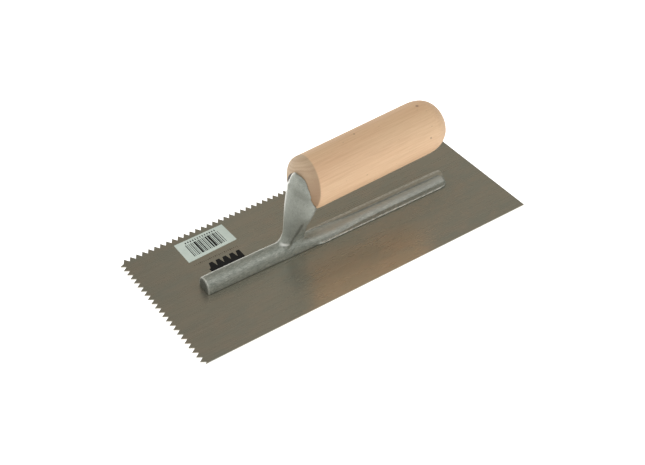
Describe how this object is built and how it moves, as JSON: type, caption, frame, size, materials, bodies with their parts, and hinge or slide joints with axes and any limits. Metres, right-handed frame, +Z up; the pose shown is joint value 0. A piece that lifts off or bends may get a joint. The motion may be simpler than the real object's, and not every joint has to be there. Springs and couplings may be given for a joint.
{
  "type": "notched trowel",
  "caption": "Hand trowel with a thin rectangular steel blade V-notched on two edges, a cast bar mounting with a curved neck, and a round wooden handle for spreading adhesive.",
  "frame": {"origin": "middle of the blade's underside", "axes": "+X from the notched short edge to the plain short edge, +Y towards the notched long edge, +Z up to the handle"},
  "size_m": [0.28, 0.114, 0.0816],
  "materials": {
    "blade_steel": "lengthwise brushed, lightly oiled",
    "cast_aluminium": "cast and tumbled, dull",
    "beech": "sanded, bare",
    "zinc_steel": "zinc plated",
    "rivet_steel": "ground flush with the blade",
    "label_paper": "matt, printed with plain bars",
    "ink": "flat black print"
  },
  "bodies": {
    "root": {"blade": "blade_steel", "mounting": "cast_aluminium", "handle": "beech", "handle_bolt": "zinc_steel", "bolt_washer": "zinc_steel", "label": "label_paper", "rivet_1": "rivet_steel", "rivet_2": "rivet_steel", "rivet_3": "rivet_steel", "rivet_4": "rivet_steel", "rivet_5": "rivet_steel", "rivet_6": "rivet_steel", "rivet_7": "rivet_steel", "rivet_8": "rivet_steel"}
  },
  "joints": []
}
